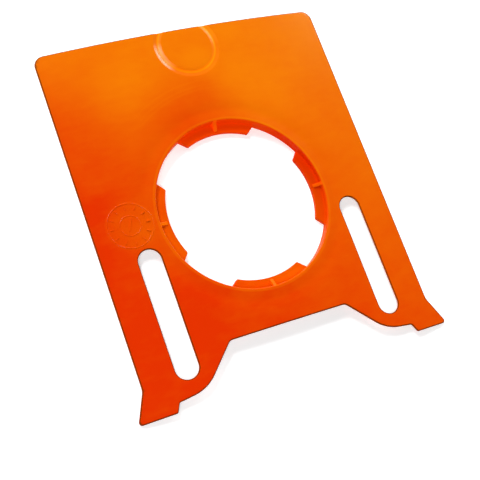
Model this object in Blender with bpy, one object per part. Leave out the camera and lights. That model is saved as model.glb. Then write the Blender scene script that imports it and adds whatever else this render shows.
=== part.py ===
"""Vacuum bag holder: a thin bowed plate with a bayonet ring, two finger slots and two flared feet.

Metres, +Z up. It lies on the flat back of its ring, front face up, with +Y towards the top edge.
The outline and every feature are drawn flat from the ring's centre. The plate is then bent down
towards its long sides, and the part is moved so that its box's middle stands over the origin.
"""
from math import atan2, ceil, cos, floor, pi, radians, sin, tan

import bmesh
import bpy
from mathutils import Matrix, Vector

MM = 0.001

# Plate
PLATE_WIDTH = 112.0 * MM
PLATE_THICK = 1.0 * MM
PLATE_BOW = 3.1 * MM        # how far the long sides lie below the middle
TOP_EDGE_Y = 70.45 * MM      # above the ring's centre
TOP_CORNER_R = 3.7 * MM

# Feet: the sides flare outwards below the slots
FLARE_START_Y = -52.2 * MM
FLARE_OUT = 4.8 * MM
FLARE_FILLET_R = 5.0 * MM
FOOT_BOTTOM_Y = -62.75 * MM
FOOT_WIDTH = 13.6 * MM
FOOT_CORNER_R = 1.1 * MM
FOOT_STEP = 3.1 * MM        # height of the step at a foot's inner side
FOOT_STEP_LEAN = 1.5 * MM
FOOT_STEP_R = 0.9 * MM

# Cut-out between the feet
CUT_TOP_Y = -45.5 * MM
CUT_TOP_HALF = 22.7 * MM
CUT_TOP_R = 2.4 * MM
CUT_HIP_X = 35.2 * MM       # where the slanted side meets the flat shoulder of the foot
CUT_HIP_Y = -58.4 * MM
CUT_HIP_R = 18.0 * MM

# Finger slots
SLOT_WIDTH = 8.2 * MM
SLOT_RING_GAP = 2.2 * MM    # plate left between a slot and the ring's collar
SLOT_TOP_Y = -7.45 * MM
SLOT_BOTTOM_Y = -53.5 * MM

# Bayonet ring
RING_BORE_R = 31.9 * MM
RING_WALL = 1.5 * MM
RING_BACK = 3.75 * MM       # how far the ring's flat back lies behind the middle of the plate
LIP_HEIGHT = 0.35 * MM      # rounded lip above the funnel
FUNNEL_DEPTH = 0.35 * MM    # the plate sinks in a shallow funnel towards the ring
FUNNEL_WIDTH = 6.5 * MM

# Bayonet tabs, inside the back of the ring
TAB_COUNT = 4
TAB_BORE_R = 28.2 * MM
TAB_THICK = 1.6 * MM
TAB_SETBACK = 0.2 * MM          # from the ring's back edge to the tabs' backs
TAB_HALF_ANGLE = radians(25.0)  # at the tab's inner edge
TAB_END_SLANT = 0.45            # how far an end runs on along the wall, per unit of tab depth
TAB_CORNER_R = 0.8 * MM
RIB_WIDTH = 1.3 * MM
RIB_TOP_GAP = 0.7 * MM          # from the ring's lip down to the rib's top
RIB_NOSE = 0.5 * MM             # height of the rib over the tab at its inner end

# Grip ring: a shallow round groove in the front, run out through the top edge
GRIP_CENTRE_Y = 63.4 * MM
GRIP_INNER_R = 9.9 * MM
GRIP_WIDTH = 2.9 * MM
GRIP_FLOOR = 0.5 * MM       # width of the groove's flat floor
GRIP_DEPTH = 0.35 * MM

# Resolution
RING_STEPS = 96
GRIP_STEPS = 64
ARC_STEP = radians(9.0)
BOW_STRIP = 4.0 * MM  # width of the flat strips that the bow is drawn in
OVERSIZE = 3.0 * MM   # how far cutters run past what they cut
BITE = 0.4 * MM       # how far a joined piece reaches into its carrier
WELD = 0.0005 * MM    # how near a cut may pass a corner before it takes the corner

# Heights above the floor before the plate is bent, and places that follow from the ring
PLATE_BACK_Z = RING_BACK
PLATE_FRONT_Z = PLATE_BACK_Z + PLATE_THICK
RING_TOP_Z = PLATE_FRONT_Z - FUNNEL_DEPTH + LIP_HEIGHT
TAB_FRONT_Z = TAB_SETBACK + TAB_THICK
BENT_FROM_Z = PLATE_BACK_Z - FUNNEL_DEPTH   # all above this height follows the bow
RING_OUTER_R = RING_BORE_R + RING_WALL
SLOT_CENTRE_X = RING_OUTER_R + SLOT_RING_GAP + SLOT_WIDTH / 2

ORANGE = (0.86, 0.115, 0.003, 1.0)
ORANGE_ROUGHNESS = 0.33


def clear_scene():
    """Remove every object that is already there."""
    for item in list(bpy.data.objects):
        bpy.data.objects.remove(item, do_unlink=True)


def plastic():
    """Orange moulded plastic."""
    material = bpy.data.materials.new("orange_plastic")
    material.use_nodes = True
    shader = material.node_tree.nodes["Principled BSDF"]
    shader.inputs["Base Color"].default_value = ORANGE
    shader.inputs["Roughness"].default_value = ORANGE_ROUGHNESS
    shader.inputs["Metallic"].default_value = 0.0
    material.diffuse_color = ORANGE
    return material


def fillet(before, corner, after, radius):
    """Points of the arc that rounds a corner, from the first leg to the second."""
    corner = Vector(corner)
    leg_in = Vector(before) - corner
    leg_out = Vector(after) - corner
    angle = leg_in.angle(leg_out)
    if radius <= 0.0 or abs(pi - angle) < 1e-4:
        return [corner]
    reach = radius / tan(angle / 2)
    limit = 0.49 * min(leg_in.length, leg_out.length)
    if reach > limit:
        reach = limit
        radius = reach * tan(angle / 2)
    centre = corner + (leg_in.normalized() + leg_out.normalized()).normalized() * radius / sin(angle / 2)
    start = corner + leg_in.normalized() * reach - centre
    end = corner + leg_out.normalized() * reach - centre
    turn = atan2(start.cross(end), start.dot(end))
    steps = max(2, ceil(abs(turn) / ARC_STEP))
    points = []
    for step in range(steps + 1):
        points.append(centre + Matrix.Rotation(turn * step / steps, 2) @ start)
    return points


def rounded(corners):
    """A closed outline from corners given as (x, y, fillet radius)."""
    outline = []
    for index, (x, y, radius) in enumerate(corners):
        before = corners[index - 1][:2]
        after = corners[(index + 1) % len(corners)][:2]
        outline.extend(fillet(before, (x, y), after, radius))
    return outline


def right_half():
    """The outline's corners on the +X side, from the foot's cut-out up to the top corner."""
    half = PLATE_WIDTH / 2
    foot_out = half + FLARE_OUT
    foot_in = foot_out - FOOT_WIDTH
    step_y = FOOT_BOTTOM_Y + FOOT_STEP
    return [
        (CUT_TOP_HALF, CUT_TOP_Y, CUT_TOP_R),
        (CUT_HIP_X, CUT_HIP_Y, CUT_HIP_R),
        (foot_in - FOOT_STEP_LEAN, step_y, FOOT_STEP_R),
        (foot_in, FOOT_BOTTOM_Y, FOOT_STEP_R),
        (foot_out, FOOT_BOTTOM_Y, FOOT_CORNER_R),
        (half, FLARE_START_Y, FLARE_FILLET_R),
        (half, TOP_EDGE_Y, TOP_CORNER_R),
    ]


def plate_outline():
    """The whole outline, anticlockwise."""
    right = right_half()
    left = [(-x, y, radius) for x, y, radius in reversed(right)]
    return rounded(right + left)


def stadium(width, x, low, high):
    """A slot's outline: two straight sides with full-round ends."""
    radius = width / 2
    steps = ceil(pi / ARC_STEP)
    outline = []
    for centre_y, start in ((high - radius, 0.0), (low + radius, pi)):
        for step in range(steps + 1):
            angle = start + pi * step / steps
            outline.append(Vector((x + radius * cos(angle), centre_y + radius * sin(angle))))
    return outline


def polar(radius, angle):
    """A point in the plate's plane, from the ring's centre."""
    return Vector((radius * cos(angle), radius * sin(angle)))


def tab_outline(centre_angle):
    """One tab: an arc along the ring's wall, and a shorter inner arc with slanted, rounded ends."""
    outer_r = RING_BORE_R + BITE
    depth = outer_r - TAB_BORE_R
    wall_half = TAB_HALF_ANGLE + TAB_END_SLANT * depth / outer_r
    corner = polar(TAB_BORE_R, centre_angle + TAB_HALF_ANGLE)
    wall_end = polar(outer_r, centre_angle + wall_half)
    steps = ceil(2 * TAB_HALF_ANGLE / radians(360 / RING_STEPS))
    inset = TAB_CORNER_R / TAB_BORE_R
    inner = []
    for step in range(steps + 1):
        share = step / steps
        angle = centre_angle + (TAB_HALF_ANGLE - 2 * inset) * (1 - 2 * share)
        inner.append(polar(TAB_BORE_R, angle))
    outer = []
    for step in range(steps + 1):
        angle = centre_angle + wall_half * (2 * step / steps - 1)
        outer.append(polar(outer_r, angle))
    low_corner = polar(TAB_BORE_R, centre_angle - TAB_HALF_ANGLE)
    low_end = outer[0]
    first = fillet(wall_end, corner, inner[0], TAB_CORNER_R)
    last = fillet(inner[-1], low_corner, low_end, TAB_CORNER_R)
    return outer + first + inner + last


def make_object(name, mesh, material):
    """A new object that carries the mesh, smooth on its round faces."""
    mesh.materials.append(material)
    mesh.shade_smooth()
    mesh.set_sharp_from_angle(angle=radians(30.0))
    item = bpy.data.objects.new(name, mesh)
    bpy.context.scene.collection.objects.link(item)
    return item


def finish_mesh(name, bm, material):
    """Turn a closed bmesh outwards and give it an object."""
    bmesh.ops.recalc_face_normals(bm, faces=bm.faces)
    mesh = bpy.data.meshes.new(name)
    bm.to_mesh(mesh)
    bm.free()
    return make_object(name, mesh, material)


def prism(name, outline, low, high, material):
    """Extrude an outline from one height to another."""
    bm = bmesh.new()
    base = bm.faces.new([bm.verts.new((point[0], point[1], low)) for point in outline])
    grown = bmesh.ops.extrude_face_region(bm, geom=[base])
    moved = [item for item in grown["geom"] if isinstance(item, bmesh.types.BMVert)]
    bmesh.ops.translate(bm, verts=moved, vec=(0.0, 0.0, high - low))
    return finish_mesh(name, bm, material)


def turned(name, profile, steps, material, centre_y=0.0, hollow=False):
    """Revolve a profile of (radius, height): a ring if hollow, else a solid with flat ends."""
    bm = bmesh.new()
    loops = []
    for radius, height in profile:
        ring = []
        for step in range(steps):
            angle = 2 * pi * step / steps
            ring.append(bm.verts.new((radius * cos(angle), centre_y + radius * sin(angle), height)))
        loops.append(ring)
    pairs = list(zip(loops, loops[1:]))
    if hollow:
        pairs.append((loops[-1], loops[0]))
    for one, other in pairs:
        for step in range(steps):
            after = (step + 1) % steps
            bm.faces.new((one[step], one[after], other[after], other[step]))
    if not hollow:
        bm.faces.new(loops[0])
        bm.faces.new(loops[-1])
    return finish_mesh(name, bm, material)


def collar_profile():
    """Cross-section of the ring: a straight wall with a round lip on its front."""
    lip_r = RING_WALL / 2
    lip_centre = RING_BORE_R + lip_r
    rise = min(lip_r, LIP_HEIGHT)
    steps = 6
    profile = [(RING_OUTER_R, 0.0)]
    for step in range(steps + 1):
        angle = pi * step / steps
        profile.append((lip_centre + lip_r * cos(angle), RING_TOP_Z - rise + rise * sin(angle)))
    profile.append((RING_BORE_R, 0.0))
    return profile


def rib(name, angle, material):
    """A gusset in the corner between the ring's wall and a tab's front."""
    wall_r = RING_BORE_R + BITE
    top = RING_TOP_Z - RIB_TOP_GAP
    seat = TAB_FRONT_Z - BITE
    nose_r = TAB_BORE_R + TAB_CORNER_R
    side = [
        (wall_r, seat),
        (wall_r, top),
        (RING_BORE_R, top),
        (nose_r, TAB_FRONT_Z + RIB_NOSE),
        (nose_r, seat),
    ]
    along = polar(1.0, angle)
    across = polar(RIB_WIDTH / 2, angle + pi / 2)
    bm = bmesh.new()
    near = []
    for radius, height in side:
        spot = along * radius - across
        near.append(bm.verts.new((spot.x, spot.y, height)))
    grown = bmesh.ops.extrude_face_region(bm, geom=[bm.faces.new(near)])
    moved = [item for item in grown["geom"] if isinstance(item, bmesh.types.BMVert)]
    bmesh.ops.translate(bm, verts=moved, vec=(2 * across.x, 2 * across.y, 0.0))
    return finish_mesh(name, bm, material)


def combine(target, tool, operation):
    """Join, cut or trim the target with a tool, an unrendered wire until the plate is bent."""
    step = target.modifiers.new(tool.name, "BOOLEAN")
    step.operation = operation
    step.solver = "EXACT"
    step.object = tool
    tool.hide_render = True
    tool.display_type = "WIRE"
    tool.parent = target


def add_funnel(holder, material):
    """Press a shallow cone into the front that stands out at the back, so the plate keeps its wall."""
    slope = FUNNEL_DEPTH / FUNNEL_WIDTH
    rim_r = RING_OUTER_R + FUNNEL_WIDTH + BITE / slope
    for side, surface, operation in (
        ("back", PLATE_BACK_Z, "UNION"),
        ("front", PLATE_FRONT_Z, "DIFFERENCE"),
    ):
        profile = [(RING_OUTER_R, surface - FUNNEL_DEPTH), (rim_r, surface + BITE)]
        combine(holder, turned(f"funnel_{side}", profile, RING_STEPS, material), operation)


def add_grip(holder, material):
    """Cut the grip ring: two sloping sides down to a narrow flat floor."""
    middle = GRIP_INNER_R + GRIP_WIDTH / 2
    side = (GRIP_WIDTH - GRIP_FLOOR) / 2
    half_top = GRIP_WIDTH / 2 + BITE * side / GRIP_DEPTH
    low = PLATE_FRONT_Z - GRIP_DEPTH
    high = PLATE_FRONT_Z + BITE
    profile = [
        (middle - half_top, high),
        (middle - GRIP_FLOOR / 2, low),
        (middle + GRIP_FLOOR / 2, low),
        (middle + half_top, high),
    ]
    groove = turned("grip_ring", profile, GRIP_STEPS, material, GRIP_CENTRE_Y, hollow=True)
    combine(holder, groove, "DIFFERENCE")


def add_slots(holder, material):
    """The two finger slots."""
    for name, side in (("slot_left", -1), ("slot_right", 1)):
        outline = stadium(SLOT_WIDTH, side * SLOT_CENTRE_X, SLOT_BOTTOM_Y, SLOT_TOP_Y)
        cutter = prism(name, outline, PLATE_BACK_Z - OVERSIZE, PLATE_FRONT_Z + OVERSIZE, material)
        combine(holder, cutter, "DIFFERENCE")


def add_ring(holder, material):
    """Make the collar with its tabs and ribs, bore the plate, and set the collar in it."""
    collar = turned("collar", collar_profile(), RING_STEPS, material, hollow=True)
    for index in range(TAB_COUNT):
        angle = 2 * pi * index / TAB_COUNT
        tab = prism(f"tab_{index}", tab_outline(angle), TAB_SETBACK, TAB_FRONT_Z, material)
        combine(collar, tab, "UNION")
        combine(collar, rib(f"rib_{index}", angle, material), "UNION")
    middle_r = RING_BORE_R + RING_WALL / 2
    bore = [(middle_r, -OVERSIZE), (middle_r, RING_TOP_Z + OVERSIZE)]
    combine(holder, turned("ring_bore", bore, RING_STEPS, material), "DIFFERENCE")
    combine(holder, collar, "UNION")


def blank(material):
    """An oversize sheet of the plate's thickness, trimmed later to the outline."""
    half = PLATE_WIDTH / 2 + FLARE_OUT + OVERSIZE
    low = FOOT_BOTTOM_Y - OVERSIZE
    high = TOP_EDGE_Y + OVERSIZE
    corners = [(-half, low), (half, low), (half, high), (-half, high)]
    return prism("bag_holder", corners, PLATE_BACK_Z, PLATE_FRONT_Z, material)


def line_drop(x):
    """How far the bow has fallen at x, on a parabola that starts at the middle strip's edge."""
    start = BOW_STRIP / 2
    return PLATE_BOW * (x ** 2 - start ** 2) / ((PLATE_WIDTH / 2) ** 2 - start ** 2)


def bow_drop(x):
    """How far the plate lies below its middle at x, straight within each strip."""
    strips = abs(x) / BOW_STRIP - 0.5
    if strips <= 0.0:
        return 0.0
    line = floor(strips)
    inner = line_drop((line + 0.5) * BOW_STRIP)
    outer = line_drop((line + 1.5) * BOW_STRIP)
    return inner + (outer - inner) * (strips - line)


def bend(holder):
    """Settle the Booleans and bend the plate, leaving the ring's back and the tabs level."""
    bm = bmesh.new()
    bm.from_object(holder, bpy.context.evaluated_depsgraph_get())
    count = ceil((PLATE_WIDTH / 2 + FLARE_OUT) / BOW_STRIP)
    for line in range(-count, count):
        place = ((line + 0.5) * BOW_STRIP, 0.0, 0.0)
        parts = bm.verts[:] + bm.edges[:] + bm.faces[:]
        bmesh.ops.bisect_plane(bm, geom=parts, dist=WELD, plane_co=place, plane_no=(1.0, 0.0, 0.0))
    for vert in bm.verts:
        share = (vert.co.z - TAB_FRONT_Z) / (BENT_FROM_Z - TAB_FRONT_Z)
        vert.co.z -= bow_drop(vert.co.x) * min(1.0, max(0.0, share))
    bmesh.ops.triangulate(bm, faces=bm.faces)
    holder.modifiers.clear()
    bm.to_mesh(holder.data)
    bm.free()
    holder.data.set_sharp_from_angle(angle=radians(30.0))


def build():
    """Model the holder flat round the ring's centre, bend it, and centre its box on the origin."""
    clear_scene()
    material = plastic()
    holder = blank(material)
    add_grip(holder, material)
    add_funnel(holder, material)
    trim = prism("outline", plate_outline(), -OVERSIZE, RING_TOP_Z + OVERSIZE, material)
    combine(holder, trim, "INTERSECT")
    add_slots(holder, material)
    add_ring(holder, material)
    bend(holder)
    for tool in [item for item in bpy.data.objects if item != holder]:
        bpy.data.objects.remove(tool, do_unlink=True)
    holder.location.y = -(TOP_EDGE_Y + FOOT_BOTTOM_Y) / 2


build()
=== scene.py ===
"""Finish, light and camera for a vacuum bag holder: one orange moulding lying on a white floor."""
from math import atan2, ceil, cos, pi, radians, sin, tan

import bmesh
import bpy
import numpy as np
from mathutils import Matrix, Vector
from mathutils.geometry import delaunay_2d_cdt
from mathutils.kdtree import KDTree


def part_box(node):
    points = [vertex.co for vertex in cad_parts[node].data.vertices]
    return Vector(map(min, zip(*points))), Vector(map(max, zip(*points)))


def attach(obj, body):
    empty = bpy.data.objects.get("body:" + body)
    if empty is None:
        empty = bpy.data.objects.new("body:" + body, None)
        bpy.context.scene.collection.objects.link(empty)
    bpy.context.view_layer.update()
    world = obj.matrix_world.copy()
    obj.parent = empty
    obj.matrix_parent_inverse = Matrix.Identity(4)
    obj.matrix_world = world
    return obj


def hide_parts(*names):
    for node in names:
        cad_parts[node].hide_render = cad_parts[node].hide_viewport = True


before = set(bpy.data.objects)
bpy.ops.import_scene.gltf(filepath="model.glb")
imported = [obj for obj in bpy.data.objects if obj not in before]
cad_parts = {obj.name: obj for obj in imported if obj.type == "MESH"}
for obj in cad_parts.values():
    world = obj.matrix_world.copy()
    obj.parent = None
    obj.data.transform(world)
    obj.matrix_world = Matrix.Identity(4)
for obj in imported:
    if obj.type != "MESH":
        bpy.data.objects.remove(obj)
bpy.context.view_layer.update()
MM = 0.001

# Sizes of the part, as in its source
PLATE_WIDTH = 112.0 * MM
PLATE_THICK = 1.0 * MM
PLATE_BOW = 3.1 * MM
TOP_EDGE_Y = 70.45 * MM
TOP_CORNER_R = 3.7 * MM
FLARE_START_Y = -52.2 * MM
FLARE_OUT = 4.8 * MM
FLARE_FILLET_R = 5.0 * MM
FOOT_BOTTOM_Y = -62.75 * MM
FOOT_WIDTH = 13.6 * MM
FOOT_CORNER_R = 1.1 * MM
FOOT_STEP = 3.1 * MM
FOOT_STEP_LEAN = 1.5 * MM
FOOT_STEP_R = 0.9 * MM
CUT_TOP_Y = -45.5 * MM
CUT_TOP_HALF = 22.7 * MM
CUT_TOP_R = 2.4 * MM
CUT_HIP_X = 35.2 * MM
CUT_HIP_Y = -58.4 * MM
CUT_HIP_R = 18.0 * MM
SLOT_WIDTH = 8.2 * MM
SLOT_CENTRE_X = 39.7 * MM
SLOT_TOP_Y = -7.45 * MM
SLOT_BOTTOM_Y = -53.5 * MM
RING_BORE_R = 31.9 * MM
RING_WALL = 1.5 * MM
LIP_HEIGHT = 0.35 * MM
FUNNEL_DEPTH = 0.35 * MM
FUNNEL_WIDTH = 6.5 * MM
TAB_COUNT = 4
TAB_BORE_R = 28.2 * MM
TAB_THICK = 1.6 * MM
TAB_SETBACK = 0.2 * MM
TAB_HALF_ANGLE = radians(25.0)
TAB_END_SLANT = 0.45
TAB_CORNER_R = 0.8 * MM
RIB_WIDTH = 1.3 * MM
RIB_TOP_GAP = 0.7 * MM
RIB_NOSE = 0.5 * MM
GRIP_CENTRE_Y = 63.4 * MM
GRIP_DEPTH = 0.35 * MM
PLATE_BACK_Z = 3.75 * MM

# What follows from those sizes
PLATE_FRONT_Z = PLATE_BACK_Z + PLATE_THICK
FUNNEL_BACK_Z = PLATE_BACK_Z - FUNNEL_DEPTH     # the plate's back beside the ring
RING_TOP_Z = PLATE_FRONT_Z - FUNNEL_DEPTH + LIP_HEIGHT
RING_OUTER_R = RING_BORE_R + RING_WALL
TAB_FRONT_Z = TAB_SETBACK + TAB_THICK
CAD_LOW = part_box("bag_holder")[0]
RING_Y = CAD_LOW.y - FOOT_BOTTOM_Y              # the ring's centre in the row's frame

# Detail that only the finish carries
EDGE_R = 0.42 * MM            # rounding of every edge of the plate
PLATE_HOLE_R = 34.3 * MM      # where the plate's sheet ends and the turned ring begins
FUNNEL_BLUR = 0.12            # how round the funnel's two corners are
GRIP_INNER_R = 9.7 * MM
GRIP_WIDTH = 3.0 * MM
GRIP_FLOOR = 0.3 * MM
GRIP_MIDDLE_R = GRIP_INNER_R + GRIP_WIDTH / 2
GRIP_BLUR = 0.08              # how round the groove's corners are
LIP_START_R = 37.0 * MM       # where the front begins to rise to the lip
LIP_TOP_R = 32.4 * MM
LIP_SPARE = 0.01 * MM         # how far the lip stays below its full height
BORE_TOP_GAP = 1.1 * MM       # from the ring's top to the first row of the bore's straight wall
COLLAR_EDGE_R = 0.2 * MM
COLLAR_ROOT_R = 0.6 * MM
COLLAR_WALL_Z = 1.2 * MM      # the first row of the collar's outer wall
SUNK = 0.4 * MM               # how deep a tab or rib reaches into what carries it
TAB_ROOT_R = RING_BORE_R + SUNK
TAB_EDGE_R = 0.18 * MM
RIB_EDGE_R = 0.2 * MM
SHRINK = 0.99998              # keeps the finer curves inside the solid's box

# The plain dial on the plate's left. Its spans are shares of its radius
DIAL_CENTRE = (-42.3 * MM, 2.1 * MM)
DIAL_R = 8.0 * MM
DIAL_HEIGHT = 0.11 * MM
DIAL_RIDGES = ((1.0, 0.5 * MM), (0.45, 0.4 * MM))     # share of the radius, and width
DIAL_TICKS = 12
TICK_SPAN = (0.72, 0.9)
TICK_WIDTH = 0.35 * MM
POINTER_SPAN = (-0.25, 0.36)
POINTER_ANGLE = radians(68)
POINTER_WIDTH = 0.5 * MM
RIDGE_SUNK = 0.02 * MM
BAR_SUNK = 0.1 * MM
BAR_EDGE_R = 0.03 * MM

# How fine the mesh is
GRID = 1.6 * MM               # spacing of the sheet's points
GRID_REACH = 70.0 * MM        # from the ring's centre to the sides of the field of points
GRID_TALLER = 1.3             # rows above the centre, for each point beside it
ROW_SHARE = 0.866             # height of a triangle with sides of 1
LOOP_GAP = 0.5 * MM           # the least distance from a point to the sheet's outlines
FUNNEL_CLEAR_R = 42.2 * MM    # within this radius, rings of points take the grid's place
FUNNEL_RINGS_MM = (35.1, 36.0, 36.9, 37.8, 38.6, 39.3, 40.0, 40.7, 41.5)
FUNNEL_RING_STEPS = 160
GRIP_CLEAR_R = (8.4 * MM, 14.6 * MM)
GRIP_RINGS_MM = np.arange(8.8, 14.1, 0.26)
GRIP_RING_STEPS = 150
ARC_STEP = radians(4.0)
SLOT_END_STEPS = 24
RING_STEPS = 240
LIP_ROWS = 8
BORE_ROWS = 6
COLLAR_ROWS = 4
DIAL_STEPS = 96
RIDGE_ROWS = 7
TAB_HALF_STEPS = 15
EDGE_ANGLES = (67.5, 45.0, 22.5, 0.0)
SHARP_ANGLE = radians(40)     # edges that turn by more than this are bevelled
BEVEL_STEPS = 3
SAME_SPOT_MM = 1e-5
FACE_WEIGHT = 60              # how much the large faces decide on the shading

# Colours. The share of yellow runs from 0, red orange, to 1, yellow orange. Much of that share is
# painted light: the plate turns yellower where the light falls, towards the upper right, and redder in
# the painted shade of its lower left
RED_ORANGE = (0.72, 0.030, 0.0, 1.0)
YELLOW_ORANGE = (0.86, 0.215, 0.001, 1.0)
# Painted shade: the rounded edges darken to brown where they turn away
EDGE_PAINTED_SHADE = (0.13, 0.03, 0.0, 1.0)
EDGE_SHADE_SHARE = 0.9
# Pivot of the painted light: the plate yellows with the angle about it, as though lit from the upper
# right
PAINTED_LIGHT_PIVOT = (-105.0 * MM, 86.2 * MM)   # the colour turns about this point, off the upper left corner
FADE_WAVER = (45.0, 5.0, 0.5, 0.24)     # scale, detail, roughness and strength of the fade's noise
FLOW_SCALE = (0.5, 1.1, 1.0)            # draws the finer noises out across the plate
FLOW_WAVERS = ((330.0, 3.0, 0.6, 0.17), (105.0, 3.0, 0.6, 0.22))
# Patches of the share of yellow. The ones at (-9, 34), (-38, -6) and (0, 47) are painted shade and
# painted light from the funnel's slope round the ring: redder above its upper left, yellower at its
# left. The others are blotches of the plastic's tone.
PATCHES_AND_SHADE = (      # x, y, radius of the full change and of its end in mm, and change in the share
    (-9.0, 34.0, 0.0, 27.0, -0.27),
    (-38.0, -6.0, 0.0, 21.0, 0.15),
    (-27.0, 51.0, 3.0, 19.0, 0.21),
    (22.0, 44.0, 2.0, 21.0, 0.15),
    (-42.3, 2.1, 8.2, 8.9, 0.07),
    (30.0, -38.0, 0.0, 24.0, -0.05),
    (2.0, 56.0, 2.5, 9.5, 0.13),
    (0.0, 47.0, 1.0, 10.0, -0.12),
)
# Painted highlight: a yellower line just outside the lip's top, where its rounding catches the light
LIP_HIGHLIGHT_R = LIP_TOP_R + 0.3 * MM
STREAK_CENTRE = (-12.0 * MM, 44.0 * MM)
STREAK_RADII_MM = (45.2, 46.6, 48.7)
# Painted shade and light in the bore: its upper and right walls, turned away from the light, are
# redder, and its bottom yellower
BORE_LEAN = 0.5               # how far the fade within the bore leans to the right
# Painted light: the ribs' lit tops are yellower
RIB_PAINTED_LIGHT = 0.20

# Ramps of the plastic: the two values that each runs between, and what it gives at them
PAINTED_LIGHT_RAMP = (radians(2.0), radians(58.0), 1.0, 0.0)
LIP_HIGHLIGHT_RAMP = (0.2 * MM, 0.7 * MM, 0.16, 0.0)
STREAK_RAMP = (6.0 * MM, 22.0 * MM, 0.06, 0.0)
STREAK_LINE_RAMP = (0.1 * MM, 0.6 * MM, 1.0, 0.0)
# Painted shade and light within the bore, from its bottom to its top, and towards its right
BORE_SHADE_RAMP = (RING_Y - 33.0 * MM, RING_Y + 31.0 * MM, -0.9, 0.85)
BORE_RIGHT_SHADE_RAMP = (17.0 * MM, 29.0 * MM, 0.0, 0.35)
BORE_RAMP = (RING_BORE_R + 0.05 * MM, RING_BORE_R + 0.6 * MM, 1.0, 0.0)
# Painted light: emission that lights the bore's wall, rising towards its top
BORE_PAINTED_LIGHT_RAMP = (2.0 * MM, 31.0 * MM, 0.0, 0.38)
RIB_SIDE_RAMP = (0.68 * MM, 0.85 * MM, 1.0, 0.0)
RIB_FOOT_RAMP = (TAB_FRONT_Z, TAB_FRONT_Z + 0.2 * MM, 0.0, 1.0)
GROOVE_RAMP = (1.2 * MM, 1.8 * MM, 1.0, 0.0)
# Painted highlight: a thin light line in the groove, and painted light on its inner wall
GROOVE_HIGHLIGHT_RAMP = (0.1 * MM, 0.65 * MM, 0.50, 0.0)
INNER_WALL_LIGHT_RAMP = (GRIP_MIDDLE_R - 0.6 * MM, GRIP_MIDDLE_R + 0.1 * MM, 0.12, 0.0)
LOW_RAMP = (2.5 * MM, 7.0 * MM, 1.0, 0.0)
HIGH_RAMP = (3.0 * MM, 8.5 * MM, 1.0, 0.0)
RIM_RAMP = (0.965, 0.995, 1.0, 0.0)
RIM_SIDE_RAMP = (0.1, 0.8, 0.4, 1.0)
OFF_RING_RAMP = (34.0 * MM, 35.0 * MM, 0.0, 1.0)
OFF_DIAL_RAMP = (DIAL_R + 0.4 * MM, DIAL_R + 0.6 * MM, 0.0, 1.0)
GRAIN_RAMP = (0.3, 0.7, 0.15, 0.23)     # from the grain to the roughness

# Painted glow, roughness and gloss of the plastic. The glow is emission that stands in for light
# falling on the bore, the ribs and the groove
# Centres of the groove's crescents: painted highlights there, beside more gloss for the side lamp
LOW_CENTRE = (-11.3 * MM, GRIP_CENTRE_Y - 3.4 * MM)     # the groove's bright crescents
HIGH_CENTRE = (10.0 * MM, GRIP_CENTRE_Y + 6.0 * MM)
GROOVE_HIGHLIGHT_R = GRIP_MIDDLE_R - 0.3 * MM
# Painted light on the ribs' tops
RIB_PAINTED_GLOW = 0.12
# Painted highlight in the groove's two crescents
CRESCENT_PAINTED_HIGHLIGHT = 0.34
GROOVE_ROUGH = 0.13
LOW_ROUGH = 0.07
PLAIN_GLOSS = 0.12
GROOVE_GLOSS = -0.08
LOW_GLOSS = 1.6
HIGH_GLOSS = 0.12
BORE_DULL = 0.75
GRAIN_NOISE = (900.0, 4.0, 0.6)
WAVES_NOISE = (160.0, 2.0, 0.5)
WAVES_SHARE = 4.0
GRAIN_SHARE = 0.25
BUMP_STRENGTH = 0.25
BUMP_DISTANCE = 0.05 * MM

# The white studio
WHITE = (1.0, 1.0, 1.0, 1.0)
FLOOR_SIZE = 8.0
FLOOR_COLOUR = (0.85, 0.85, 0.85, 1.0)
FLOOR_ROUGHNESS = 0.9
FLOOR_GLOSS = 0.1
FLOOR_LIFT = 0.46
SKY_RAMP = (0.22, 0.54, 2.2, 0.03)      # bright up to the first height, dark from the second
SKY_LEAN = (0.35, 0.60)                 # brighter to the right, and beyond the plate's top edge
SKY_BASE = 0.75
LAMPS = (       # name, place, sides in metres and power in watts
    ("key", (-0.50, 1.55, 1.40), (0.75, 0.55), 31.0),
    ("fill", (-0.66, -0.54, 1.25), (0.70, 0.70), 10.0),
    ("side", (0.76, 0.60, 0.53), (0.26, 0.26), 2.0),
)

# The camera that the photograph's outline gives, in the plate's own frame
FOCAL_PX = 915.39
FRAME_PX = 480
SENSOR_MM = 36.0
CAMERA_TURN = (-0.27685, 0.35408, 0.30594)      # rotation vector, plate to camera
CAMERA_SHIFT = (1.821 * MM, 13.752 * MM, -324.602 * MM)
CAMERA_NEAR = 0.01
CAMERA_FAR = 50.0


def camera():
    """The camera at the photograph's place, looking down at the lying plate."""
    turn = Vector(CAMERA_TURN)
    turned = Matrix.Rotation(turn.length, 3, turn.normalized()).transposed()
    place = turned @ -Vector(CAMERA_SHIFT) + Vector((0.0, RING_Y, PLATE_FRONT_Z))
    data = bpy.data.cameras.new("camera")
    data.sensor_width = SENSOR_MM
    data.lens = FOCAL_PX * SENSOR_MM / FRAME_PX
    data.clip_start = CAMERA_NEAR
    data.clip_end = CAMERA_FAR
    item = bpy.data.objects.new("camera", data)
    item.matrix_world = Matrix.Translation(place) @ turned.to_4x4()
    bpy.context.scene.collection.objects.link(item)
    bpy.context.scene.camera = item


def softstep(share, blur):
    """From 0 to 1 along a straight ramp whose two corners are rounded."""
    low = (share + np.sqrt(share ** 2 + blur ** 2)) / 2
    high = (share - 1 + np.sqrt((share - 1) ** 2 + blur ** 2)) / 2
    return low - high


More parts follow.
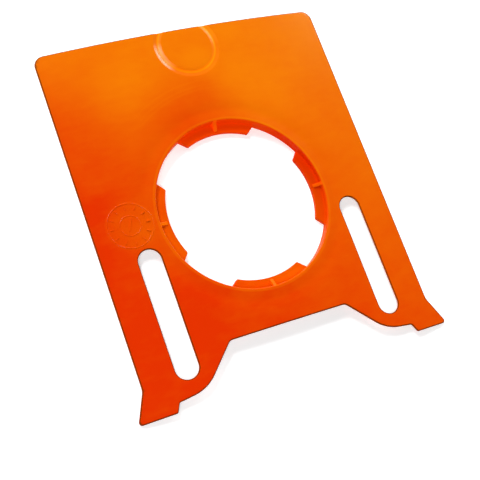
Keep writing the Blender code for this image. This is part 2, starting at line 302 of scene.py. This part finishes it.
def back(x, y):
    """Height of the plate's back before it is bent."""
    ring = (RING_OUTER_R + FUNNEL_WIDTH - np.hypot(x, y)) / FUNNEL_WIDTH
    return PLATE_BACK_Z - FUNNEL_DEPTH * softstep(ring, FUNNEL_BLUR)


def front(x, y):
    """Height of the plate's front before it is bent."""
    side = (GRIP_WIDTH - GRIP_FLOOR) / 2
    off_middle = np.abs(np.hypot(x, y - GRIP_CENTRE_Y) - GRIP_MIDDLE_R)
    groove = softstep((GRIP_WIDTH / 2 - off_middle) / side, GRIP_BLUR)
    rise = np.clip((LIP_START_R - np.hypot(x, y)) / (LIP_START_R - LIP_TOP_R), 0.0, 1.0)
    lip = (LIP_HEIGHT - LIP_SPARE) * (0.5 - 0.5 * np.cos(pi * rise))
    return back(x, y) + PLATE_THICK + lip - GRIP_DEPTH * groove


def bent(points):
    """The bow: what lies above the tabs sinks towards the long sides."""
    share = np.clip((points[:, 2] - TAB_FRONT_Z) / (FUNNEL_BACK_Z - TAB_FRONT_Z), 0.0, 1.0)
    moved = points.copy()
    moved[:, 2] -= share * PLATE_BOW * (points[:, 0] / (PLATE_WIDTH / 2)) ** 2
    return moved


def fillet(before, corner, after, radius):
    """Points of the arc that rounds a corner."""
    corner = Vector(corner)
    leg_in = Vector(before) - corner
    leg_out = Vector(after) - corner
    angle = leg_in.angle(leg_out)
    reach = min(radius / tan(angle / 2), 0.49 * min(leg_in.length, leg_out.length))
    radius = reach * tan(angle / 2)
    inward = (leg_in.normalized() + leg_out.normalized()).normalized()
    centre = corner + inward * radius / sin(angle / 2)
    start = corner + leg_in.normalized() * reach - centre
    end = corner + leg_out.normalized() * reach - centre
    turn = atan2(start.cross(end), start.dot(end))
    steps = max(3, ceil(abs(turn) / ARC_STEP))
    return [centre + Matrix.Rotation(turn * step / steps, 2) @ start for step in range(steps + 1)]


def divided(points, longest):
    """A closed loop as an array, with its long runs cut into short ones."""
    result = []
    for index, point in enumerate(points):
        after = points[(index + 1) % len(points)]
        count = max(1, ceil((after - point).length / longest))
        for step in range(count):
            result.append(point.lerp(after, step / count))
    return np.array([tuple(point) for point in result])


def plate_loop():
    """The plate's outline, anticlockwise."""
    half = PLATE_WIDTH / 2
    foot_out = half + FLARE_OUT
    foot_in = foot_out - FOOT_WIDTH
    step_y = FOOT_BOTTOM_Y + FOOT_STEP
    right = [
        (CUT_TOP_HALF, CUT_TOP_Y, CUT_TOP_R),
        (CUT_HIP_X, CUT_HIP_Y, CUT_HIP_R),
        (foot_in - FOOT_STEP_LEAN, step_y, FOOT_STEP_R),
        (foot_in, FOOT_BOTTOM_Y, FOOT_STEP_R),
        (foot_out, FOOT_BOTTOM_Y, FOOT_CORNER_R),
        (half, FLARE_START_Y, FLARE_FILLET_R),
        (half, TOP_EDGE_Y, TOP_CORNER_R),
    ]
    corners = right + [(-x, y, radius) for x, y, radius in reversed(right)]
    points = []
    for index, (x, y, radius) in enumerate(corners):
        after = corners[(index + 1) % len(corners)]
        points.extend(fillet(corners[index - 1][:2], (x, y), after[:2], radius))
    return divided(points, GRID / 2)


def slot_loop(side):
    """One slot's outline, clockwise, so that the plate lies on its left."""
    radius = SLOT_WIDTH / 2
    points = []
    for centre_y, start in ((SLOT_TOP_Y - radius, pi), (SLOT_BOTTOM_Y + radius, 0.0)):
        for step in range(SLOT_END_STEPS + 1):
            angle = start - pi * step / SLOT_END_STEPS
            x = side * SLOT_CENTRE_X + radius * cos(angle)
            points.append(Vector((x, centre_y + radius * sin(angle))))
    return divided(points, GRID)


def circle(radius, steps, centre=(0.0, 0.0), way=1):
    """Points of a circle, anticlockwise, or clockwise where the way is -1."""
    angles = way * 2 * pi * np.arange(steps) / steps
    return np.column_stack([centre[0] + radius * np.cos(angles), centre[1] + radius * np.sin(angles)])


def inset(loop, depth):
    """Move a loop to its left, into the plate."""
    along = np.roll(loop, -1, 0) - loop
    along /= np.linalg.norm(along, axis=1)[:, None]
    left = np.column_stack([-along[:, 1], along[:, 0]])
    middle = left + np.roll(left, 1, 0)
    middle /= (middle * left).sum(1)[:, None]
    return loop + middle * depth


def inside(points, loops):
    """Even-odd test of many points against closed loops."""
    hit = np.zeros(len(points), bool)
    for loop in loops:
        for (ax, ay), (bx, by) in zip(loop, np.roll(loop, -1, 0)):
            if ay == by:
                continue
            spans = (ay > points[:, 1]) != (by > points[:, 1])
            hit ^= spans & (points[:, 0] < ax + (points[:, 1] - ay) * (bx - ax) / (by - ay))
    return hit


def grid_points():
    """A triangular grid over the plate, left open where rings of points take its place."""
    rows = []
    count = ceil(GRID_REACH / GRID)
    half_rows = int(count * GRID_TALLER)
    for row in range(-half_rows, half_rows + 1):
        x = (np.arange(-count, count + 1) + 0.5 * (row % 2)) * GRID
        rows.append(np.column_stack([x, np.full(len(x), row * GRID * ROW_SHARE)]))
    grid = np.vstack(rows)
    ring = np.hypot(grid[:, 0], grid[:, 1])
    grip = np.hypot(grid[:, 0], grid[:, 1] - GRIP_CENTRE_Y)
    off_groove = (grip < GRIP_CLEAR_R[0]) | (grip > GRIP_CLEAR_R[1])
    return grid[(ring > FUNNEL_CLEAR_R) & off_groove]


def sheet_points(loops):
    """Points inside the plate: the grid, with finer rings round the bore and the groove."""
    rings = [circle(radius * MM, FUNNEL_RING_STEPS) for radius in FUNNEL_RINGS_MM]
    centre = (0.0, GRIP_CENTRE_Y)
    rings += [circle(radius * MM, GRIP_RING_STEPS, centre) for radius in GRIP_RINGS_MM]
    spots = np.vstack([grid_points()] + rings)
    spots = spots[inside(spots, loops)]
    borders = np.vstack(loops)
    tree = KDTree(len(borders))
    for index, (x, y) in enumerate(borders):
        tree.insert((x, y, 0.0), index)
    tree.balance()
    return np.array([spot for spot in spots if tree.find((*spot, 0.0))[2] > LOOP_GAP])


def triangles(loops):
    """The sheet between the loops, in flat triangles. The loops' own points come first."""
    spots = np.vstack(loops + [sheet_points(loops)])
    edges = []
    first = 0
    for loop in loops:
        count = len(loop)
        edges += [(first + step, first + (step + 1) % count) for step in range(count)]
        first += count
    coords = [Vector(spot / MM) for spot in spots]
    flat, _, faces, origin, _, _ = delaunay_2d_cdt(coords, edges, [], 0, SAME_SPOT_MM)
    assert len(flat) == len(spots)
    faces = np.array([[origin[corner][0] for corner in face] for face in faces])
    return spots, faces[inside(spots[faces].mean(1), loops)]


class Shape:
    """Points and faces gathered for one mesh."""

    def __init__(self):
        self.points = []
        self.faces = []

    def add(self, rows):
        """Append rows of points and say where they start."""
        start = len(self.points)
        self.points.extend(tuple(float(value) for value in row) for row in rows)
        return start

    def lift(self, spots, heights):
        """Append spots of the plane at their heights and say where they start."""
        return self.add(np.column_stack([spots, heights]))

    def join(self, starts, count):
        """Quads between each closed row of points and the next."""
        for one, other in zip(starts, starts[1:]):
            for step in range(count):
                after = (step + 1) % count
                self.faces.append((one + step, one + after, other + after, other + step))


def quarter(radius, z, out, up, angles):
    """A quarter round of a profile, beside a corner. The signs of out and up say to which side."""
    turns = [radians(angle) for angle in angles]
    return [(radius + out * (1 - cos(turn)), z + up * (1 - sin(turn))) for turn in turns]


def ring_profile():
    """Radius and height from the plate's front over the lip, round the collar, to the plate's back."""
    slope = np.linspace(PLATE_HOLE_R, LIP_TOP_R, LIP_ROWS)[1:]
    points = [(radius, float(front(radius, 0.0))) for radius in slope]
    lip_r = LIP_TOP_R - RING_BORE_R
    top = points[-1][1]
    for angle in np.linspace(90.0, 180.0, LIP_ROWS)[1:]:
        turn = radians(angle)
        points.append((LIP_TOP_R + lip_r * cos(turn), top - lip_r * (1 - sin(turn))))
    for z in np.linspace(RING_TOP_Z - BORE_TOP_GAP, COLLAR_EDGE_R, BORE_ROWS):
        points.append((RING_BORE_R, float(z)))
    points += quarter(RING_BORE_R, 0.0, COLLAR_EDGE_R, COLLAR_EDGE_R, (30.0, 60.0, 90.0))
    points += quarter(RING_OUTER_R, 0.0, -COLLAR_EDGE_R, COLLAR_EDGE_R, (90.0, 60.0, 30.0, 0.0))
    for z in np.linspace(COLLAR_WALL_Z, FUNNEL_BACK_Z - COLLAR_ROOT_R, COLLAR_ROWS):
        points.append((RING_OUTER_R, float(z)))
    root = (22.5, 45.0, 67.5, 90.0)
    return points + quarter(RING_OUTER_R, FUNNEL_BACK_Z, COLLAR_ROOT_R, -COLLAR_ROOT_R, root)


def add_wall(shape, loop, top, bottom):
    """The rounded edge of the plate between its front and back rows."""
    rows = [top]
    for face, up, angles in ((front, -1, EDGE_ANGLES), (back, 1, EDGE_ANGLES[::-1])):
        for angle in angles:
            edge = inset(loop, EDGE_R * (1 - cos(radians(angle))))
            height = face(edge[:, 0], edge[:, 1]) + up * EDGE_R * (1 - sin(radians(angle)))
            rows.append(shape.lift(edge, height))
    shape.join(rows + [bottom], len(loop))


def add_plate(shape):
    """The sheet's two faces, its rounded edges and the turned ring."""
    edges = [plate_loop(), slot_loop(-1), slot_loop(1)]
    hole = circle(PLATE_HOLE_R, RING_STEPS, way=-1)
    spots, faces = triangles([inset(loop, EDGE_R) for loop in edges] + [hole])
    top = shape.lift(spots, front(spots[:, 0], spots[:, 1]))
    bottom = shape.lift(spots, back(spots[:, 0], spots[:, 1]))
    shape.faces += [tuple(face + top) for face in faces]
    shape.faces += [tuple(face[::-1] + bottom) for face in faces]
    start = 0
    for loop in edges:
        add_wall(shape, loop, top + start, bottom + start)
        start += len(loop)
    rows = [top + start]
    for radius, z in ring_profile():
        row = circle(radius, RING_STEPS, way=-1)
        rows.append(shape.lift(row, np.full(RING_STEPS, z)))
    shape.join(rows + [bottom + start], RING_STEPS)


def add_solid(shape, outline, vector, edge):
    """A bevelled prism: an outline of 3-D points swept along a vector."""
    bm = bmesh.new()
    base = bm.faces.new([bm.verts.new(point) for point in outline])
    grown = bmesh.ops.extrude_face_region(bm, geom=[base])
    moved = [item for item in grown["geom"] if isinstance(item, bmesh.types.BMVert)]
    bmesh.ops.translate(bm, verts=moved, vec=vector)
    bmesh.ops.recalc_face_normals(bm, faces=bm.faces)
    sharp = [item for item in bm.edges if item.calc_face_angle(0.0) > SHARP_ANGLE]
    bmesh.ops.bevel(bm, geom=sharp, offset=edge, segments=BEVEL_STEPS, profile=0.5, affect="EDGES")
    bm.verts.index_update()
    start = shape.add([vert.co for vert in bm.verts])
    shape.faces += [tuple(start + vert.index for vert in face.verts) for face in bm.faces]
    bm.free()


def polar(radius, angle):
    """A point of the plane, from its distance and direction."""
    return Vector((radius * cos(angle), radius * sin(angle)))


def add_tab(shape, centre_angle):
    """A bayonet tab with slanted, rounded ends."""
    wall_half = TAB_HALF_ANGLE + TAB_END_SLANT * (TAB_ROOT_R - TAB_BORE_R) / TAB_ROOT_R
    reach = TAB_HALF_ANGLE - 2 * (TAB_CORNER_R / TAB_BORE_R)
    shares = [step / TAB_HALF_STEPS - 1 for step in range(2 * TAB_HALF_STEPS + 1)]
    outer = [polar(TAB_ROOT_R, centre_angle + wall_half * share) for share in shares]
    inner = [polar(TAB_BORE_R, centre_angle - reach * share) for share in shares]
    high = polar(TAB_BORE_R, centre_angle + TAB_HALF_ANGLE)
    low = polar(TAB_BORE_R, centre_angle - TAB_HALF_ANGLE)
    outline = outer + fillet(outer[-1], high, inner[0], TAB_CORNER_R) + inner
    outline += fillet(inner[-1], low, outer[0], TAB_CORNER_R)
    corners = [(point.x, point.y, TAB_SETBACK) for point in outline]
    add_solid(shape, corners, (0.0, 0.0, TAB_THICK), TAB_EDGE_R)


def add_rib(shape, centre_angle):
    """The rib in the corner between a tab and the bore's wall."""
    nose_r = TAB_BORE_R + TAB_CORNER_R
    top = RING_TOP_Z - RIB_TOP_GAP
    side = [
        (TAB_ROOT_R, TAB_FRONT_Z - SUNK),
        (TAB_ROOT_R, top),
        (RING_BORE_R, top),
        (nose_r, TAB_FRONT_Z + RIB_NOSE),
        (nose_r, TAB_FRONT_Z - SUNK),
    ]
    along = polar(1.0, centre_angle)
    across = polar(RIB_WIDTH / 2, centre_angle + pi / 2)
    outline = [(*(along * radius - across), z) for radius, z in side]
    add_solid(shape, outline, (2 * across.x, 2 * across.y, 0.0), RIB_EDGE_R)


def add_ridge(shape, radius, width):
    """A low round ridge of the dial, in a circle."""
    rows = []
    for angle in np.linspace(0.0, 180.0, RIDGE_ROWS):
        row = circle(radius + width / 2 * cos(radians(angle)), DIAL_STEPS, DIAL_CENTRE)
        height = front(row[:, 0], row[:, 1]) + DIAL_HEIGHT * sin(radians(angle)) - RIDGE_SUNK
        rows.append(shape.lift(row, height))
    shape.join(rows + rows[:1], DIAL_STEPS)


def add_bar(shape, span, angle, width):
    """A low bar of the dial, between two shares of its radius."""
    inner, outer = (share * DIAL_R for share in span)
    along = polar(1.0, angle)
    across = polar(width / 2, angle + pi / 2)
    middle = Vector(DIAL_CENTRE)
    corners = (inner, -1), (outer, -1), (outer, 1), (inner, 1)
    spots = [middle + along * radius + across * side for radius, side in corners]
    outline = [(spot.x, spot.y, PLATE_FRONT_Z - BAR_SUNK) for spot in spots]
    add_solid(shape, outline, (0.0, 0.0, BAR_SUNK + DIAL_HEIGHT), BAR_EDGE_R)


def add_dial(shape):
    """A plain moulded dial: two ridges, twelve ticks and a pointer, without any characters."""
    for share, width in DIAL_RIDGES:
        add_ridge(shape, share * DIAL_R, width)
    for tick in range(DIAL_TICKS):
        add_bar(shape, TICK_SPAN, 2 * pi * tick / DIAL_TICKS, TICK_WIDTH)
    add_bar(shape, POINTER_SPAN, POINTER_ANGLE, POINTER_WIDTH)


def moulding(material):
    """The whole finished piece, in one mesh."""
    shape = Shape()
    add_plate(shape)
    for index in range(TAB_COUNT):
        centre_angle = 2 * pi / TAB_COUNT * index
        add_tab(shape, centre_angle)
        add_rib(shape, centre_angle)
    add_dial(shape)
    points = bent(np.array(shape.points))
    points[:, 0] *= SHRINK
    points[:, 1] += RING_Y
    mesh = bpy.data.meshes.new("bag_holder_skin")
    mesh.from_pydata(points.tolist(), [], shape.faces)
    bm = bmesh.new()
    bm.from_mesh(mesh)
    bmesh.ops.recalc_face_normals(bm, faces=bm.faces)
    bm.to_mesh(mesh)
    bm.free()
    mesh.shade_smooth()
    mesh.materials.append(material)
    item = bpy.data.objects.new("bag_holder_skin", mesh)
    bpy.context.scene.collection.objects.link(item)
    normals = item.modifiers.new("even_faces", "WEIGHTED_NORMAL")
    normals.mode = "FACE_AREA"
    normals.weight = FACE_WEIGHT
    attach(item, "root")
    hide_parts("bag_holder")


def socket(node, name, value):
    """Set one input of a node."""
    node.inputs[name].default_value = value


def link(tree, source, target):
    """Connect an output with an input."""
    tree.links.new(source, target)


def separated(tree, source):
    """The node that splits a vector into X, Y and Z."""
    node = tree.nodes.new("ShaderNodeSeparateXYZ")
    link(tree, source, node.inputs[0])
    return node


def maths(tree, operation, *values):
    """A maths node whose inputs are sockets or plain numbers."""
    node = tree.nodes.new("ShaderNodeMath")
    node.operation = operation
    for index, value in enumerate(values):
        if isinstance(value, (int, float)):
            node.inputs[index].default_value = value
        else:
            link(tree, value, node.inputs[index])
    return node.outputs[0]


def added(tree, first, second):
    """The sum of two values."""
    return maths(tree, "ADD", first, second)


def times(tree, first, second):
    """The product of two values."""
    return maths(tree, "MULTIPLY", first, second)


def plus(tree, base, mask, amount):
    """The base, and an amount more where the mask is 1."""
    return added(tree, base, times(tree, mask, amount))


def without(tree, mask):
    """1 outside a mask, and 0 inside it."""
    return maths(tree, "SUBTRACT", 1.0, mask)


def apart(tree, value, mark):
    """How far a value lies from a mark, to either side."""
    return maths(tree, "ABSOLUTE", maths(tree, "SUBTRACT", value, mark))


def ranged(tree, value, low, high, to_low, to_high, kind="SMOOTHSTEP"):
    """A ramp between two values."""
    node = tree.nodes.new("ShaderNodeMapRange")
    node.interpolation_type = kind
    link(tree, value, node.inputs["Value"])
    socket(node, "From Min", low)
    socket(node, "From Max", high)
    socket(node, "To Min", to_low)
    socket(node, "To Max", to_high)
    return node.outputs["Result"]


def noise(tree, place, scale, detail, roughness):
    """Soft noise that swings about 0.5."""
    node = tree.nodes.new("ShaderNodeTexNoise")
    link(tree, place, node.inputs["Vector"])
    socket(node, "Scale", scale)
    socket(node, "Detail", detail)
    socket(node, "Roughness", roughness)
    return node.outputs["Fac"]


def wavered(tree, base, place, scale, detail, roughness, strength):
    """The base, moved up and down by noise."""
    cloud = maths(tree, "SUBTRACT", noise(tree, place, scale, detail, roughness), 0.5)
    return plus(tree, base, cloud, strength)


def mixed(tree, share, first, second):
    """A colour between two others, each a socket or a plain colour."""
    node = tree.nodes.new("ShaderNodeMix")
    node.data_type = "RGBA"
    link(tree, share, node.inputs["Factor"])
    for name, value in (("A", first), ("B", second)):
        target = [entry for entry in node.inputs if entry.name == name and entry.type == "RGBA"][0]
        if isinstance(value, tuple):
            target.default_value = value
        else:
            link(tree, value, target)
    return [entry for entry in node.outputs if entry.type == "RGBA"][0]


def distance(tree, split, x, y):
    """How far a spot of the plate lies from a point that is given from the ring's centre."""
    across = maths(tree, "SUBTRACT", split.outputs["X"], x)
    along = maths(tree, "SUBTRACT", split.outputs["Y"], y + RING_Y)
    squares = added(tree, maths(tree, "POWER", across, 2.0), maths(tree, "POWER", along, 2.0))
    return maths(tree, "SQRT", squares)


class Masks:
    """Where a spot of the plate lies. Each mask is 1 in its place and 0 outside it."""

    def __init__(self, tree, split):
        self.height = maths(tree, "SUBTRACT", split.outputs["Y"], RING_Y)
        self.reach = distance(tree, split, 0.0, 0.0)
        self.bore = ranged(tree, self.reach, *BORE_RAMP)
        self.ribs = rib_mask(tree, split, self.bore, self.height)
        self.from_grip = distance(tree, split, 0.0, GRIP_CENTRE_Y)
        self.groove = ranged(tree, apart(tree, self.from_grip, GRIP_MIDDLE_R), *GROOVE_RAMP)
        low = ranged(tree, distance(tree, split, *LOW_CENTRE), *LOW_RAMP)
        high = ranged(tree, distance(tree, split, *HIGH_CENTRE), *HIGH_RAMP)
        self.low = times(tree, low, self.groove)
        self.high = times(tree, high, self.groove)
        self.rim = rim_mask(tree, split, self.reach, self.groove)


def rib_mask(tree, split, bore, height):
    """1 on the four ribs over the tabs."""
    across = maths(tree, "ABSOLUTE", split.outputs["X"])
    across = maths(tree, "MINIMUM", across, maths(tree, "ABSOLUTE", height))
    near = ranged(tree, across, *RIB_SIDE_RAMP)
    above = ranged(tree, split.outputs["Z"], *RIB_FOOT_RAMP)
    return times(tree, times(tree, near, above), bore)


def rim_mask(tree, split, reach, groove):
    """1 on the rounded edges of the plate, but not on the ring, the dial and the groove; it carries
    the painted edge shade.
    """
    normal = tree.nodes.new("ShaderNodeTexCoord").outputs["Normal"]
    level = maths(tree, "ABSOLUTE", separated(tree, normal).outputs["Z"])
    rim = times(tree, ranged(tree, level, *RIM_RAMP), ranged(tree, level, *RIM_SIDE_RAMP))
    off_ring = ranged(tree, reach, *OFF_RING_RAMP)
    off_dial = ranged(tree, distance(tree, split, *DIAL_CENTRE), *OFF_DIAL_RAMP)
    for keep in (off_ring, off_dial, without(tree, groove)):
        rim = times(tree, rim, keep)
    return rim


def tone_and_painted_light(tree, place, split, masks):
    """Share of yellow, largely painted light: it sinks round the fade's pivot into painted shade at
    the lower left, and to the upper right within the bore as painted shade there.
    """
    along = maths(tree, "SUBTRACT", split.outputs["X"], PAINTED_LIGHT_PIVOT[0])
    down = maths(tree, "SUBTRACT", PAINTED_LIGHT_PIVOT[1], split.outputs["Y"])
    angle = maths(tree, "ARCTAN2", down, along)
    # Painted light: yellower away from the lower left, as though lit from the upper right
    share = ranged(tree, wavered(tree, angle, place, *FADE_WAVER), *PAINTED_LIGHT_RAMP, "LINEAR")
    flow = tree.nodes.new("ShaderNodeMapping")
    link(tree, place, flow.inputs["Vector"])
    socket(flow, "Scale", FLOW_SCALE)
    for waver in FLOW_WAVERS:
        share = wavered(tree, share, flow.outputs["Vector"], *waver)
    # Painted shade and light round the funnel, and blotches of tone
    for x, y, full, end, change in PATCHES_AND_SHADE:
        away = distance(tree, split, x * MM, y * MM)
        share = added(tree, share, ranged(tree, away, full * MM, end * MM, change, 0.0))
    # Painted highlight along the lip
    lip_highlight = ranged(tree, apart(tree, masks.reach, LIP_HIGHLIGHT_R), *LIP_HIGHLIGHT_RAMP)
    share = added(tree, share, lip_highlight)
    streaks = ranged(tree, distance(tree, split, *STREAK_CENTRE), *STREAK_RAMP)
    for radius in STREAK_RADII_MM:
        line = ranged(tree, apart(tree, masks.reach, radius * MM), *STREAK_LINE_RAMP)
        share = plus(tree, share, line, streaks)
    # Painted shade in the bore: redder up and to the right, yellower at the bottom
    upper = plus(tree, split.outputs["Y"], split.outputs["X"], BORE_LEAN)
    red = ranged(tree, upper, *BORE_SHADE_RAMP, "LINEAR")
    red = added(tree, red, ranged(tree, split.outputs["X"], *BORE_RIGHT_SHADE_RAMP))
    share = times(tree, share, without(tree, times(tree, red, masks.bore)))
    # Painted light on the ribs' tops
    return plus(tree, share, masks.ribs, RIB_PAINTED_LIGHT)


def painted_glow(tree, masks):
    """Painted light given off as emission: in the bore, on its ribs and as highlights in the groove.
    """
    # Painted light on the bore's wall, brighter towards its top
    bore = ranged(tree, masks.height, *BORE_PAINTED_LIGHT_RAMP, "LINEAR")
    # Painted highlights in the groove: a thin line, its inner wall and its two crescents
    line = ranged(tree, apart(tree, masks.from_grip, GROOVE_HIGHLIGHT_R), *GROOVE_HIGHLIGHT_RAMP)
    inner_wall = ranged(tree, masks.from_grip, *INNER_WALL_LIGHT_RAMP)
    # Painted light in the bore and on the ribs
    result = plus(tree, times(tree, masks.bore, bore), masks.ribs, RIB_PAINTED_GLOW)
    result = added(tree, result, line)
    result = plus(tree, result, masks.groove, inner_wall)
    result = plus(tree, result, masks.low, CRESCENT_PAINTED_HIGHLIGHT)
    return plus(tree, result, masks.high, CRESCENT_PAINTED_HIGHLIGHT)


def gloss(tree, masks):
    """Specular level: high in the groove's lower crescent, low in the bore, none on the rim."""
    result = plus(tree, PLAIN_GLOSS, masks.groove, GROOVE_GLOSS)
    result = plus(tree, result, masks.low, LOW_GLOSS)
    result = plus(tree, result, masks.high, HIGH_GLOSS)
    result = times(tree, result, without(tree, masks.rim))
    return times(tree, result, without(tree, times(tree, masks.bore, BORE_DULL)))


def bumps(tree, place, grain):
    """Faint waves and grain of the surface."""
    bump = tree.nodes.new("ShaderNodeBump")
    socket(bump, "Strength", BUMP_STRENGTH)
    socket(bump, "Distance", BUMP_DISTANCE)
    waves = times(tree, noise(tree, place, *WAVES_NOISE), WAVES_SHARE)
    link(tree, plus(tree, waves, grain, GRAIN_SHARE), bump.inputs["Height"])
    return bump.outputs["Normal"]


def plastic():
    """Orange moulded plastic, faintly blotched, with a soft gloss. Painted light makes it yellower
    towards one corner, painted shade darkens its edges, and a painted glow lights the bore, the ribs
    and the groove.
    """
    material = bpy.data.materials.new("orange_plastic")
    material.use_nodes = True
    tree = material.node_tree
    place = tree.nodes.new("ShaderNodeTexCoord").outputs["Object"]
    split = separated(tree, place)
    masks = Masks(tree, split)
    # Painted light and shade: the share of yellow, largely painted light, picks the colour between red
    # orange and yellow orange
    colour = mixed(tree, tone_and_painted_light(tree, place, split, masks), RED_ORANGE, YELLOW_ORANGE)
    # Painted shade on the rounded edges
    colour = mixed(tree, times(tree, masks.rim, EDGE_SHADE_SHARE), colour, EDGE_PAINTED_SHADE)
    grain = noise(tree, place, *GRAIN_NOISE)
    rough = plus(tree, ranged(tree, grain, *GRAIN_RAMP), masks.groove, GROOVE_ROUGH)
    rough = plus(tree, rough, masks.low, LOW_ROUGH)
    shader = tree.nodes["Principled BSDF"]
    link(tree, colour, shader.inputs["Base Color"])
    # Painted light: emission of the plastic's own colour, as strong as the painted glow says
    link(tree, colour, shader.inputs["Emission Color"])
    link(tree, painted_glow(tree, masks), shader.inputs["Emission Strength"])
    link(tree, rough, shader.inputs["Roughness"])
    link(tree, gloss(tree, masks), shader.inputs["Specular IOR Level"])
    link(tree, bumps(tree, place, grain), shader.inputs["Normal"])
    return material


def floor():
    """A white floor that keeps the shadow. The camera sees it lifted to paper white."""
    bpy.ops.mesh.primitive_plane_add(size=FLOOR_SIZE, location=(0.0, 0.0, 0.0))
    item = bpy.context.object
    item.name = "floor"
    material = bpy.data.materials.new("floor_white")
    material.use_nodes = True
    tree = material.node_tree
    shader = tree.nodes["Principled BSDF"]
    socket(shader, "Base Color", FLOOR_COLOUR)
    socket(shader, "Roughness", FLOOR_ROUGHNESS)
    socket(shader, "Specular IOR Level", FLOOR_GLOSS)
    socket(shader, "Emission Color", WHITE)
    seen = tree.nodes.new("ShaderNodeLightPath").outputs["Is Camera Ray"]
    link(tree, times(tree, seen, FLOOR_LIFT), shader.inputs["Emission Strength"])
    item.data.materials.append(material)


def area_light(name, place, sides, power):
    """A white lamp, turned to the middle of the floor under the part."""
    data = bpy.data.lights.new(name, "AREA")
    data.shape = "RECTANGLE"
    data.size, data.size_y = sides
    data.energy = power
    item = bpy.data.objects.new(name, data)
    item.location = place
    item.rotation_mode = "QUATERNION"
    item.rotation_quaternion = (-Vector(place)).to_track_quat("-Z", "Y")
    bpy.context.scene.collection.objects.link(item)


def lights():
    """A white studio whose light comes low from all round, so the plate mirrors the dark above it."""
    world = bpy.data.worlds.new("studio")
    bpy.context.scene.world = world
    world.use_nodes = True
    tree = world.node_tree
    ground = tree.nodes["Background"]
    split = separated(tree, tree.nodes.new("ShaderNodeTexCoord").outputs["Generated"])
    band = ranged(tree, split.outputs["Z"], *SKY_RAMP)
    lean = times(tree, split.outputs["Y"], SKY_LEAN[1])
    lean = plus(tree, lean, split.outputs["X"], SKY_LEAN[0])
    socket(ground, "Color", WHITE)
    link(tree, times(tree, band, added(tree, lean, SKY_BASE)), ground.inputs["Strength"])
    for name, place, sides, power in LAMPS:
        area_light(name, place, sides, power)


camera()
floor()
lights()
moulding(plastic())
bpy.context.scene.view_settings.view_transform = "Standard"
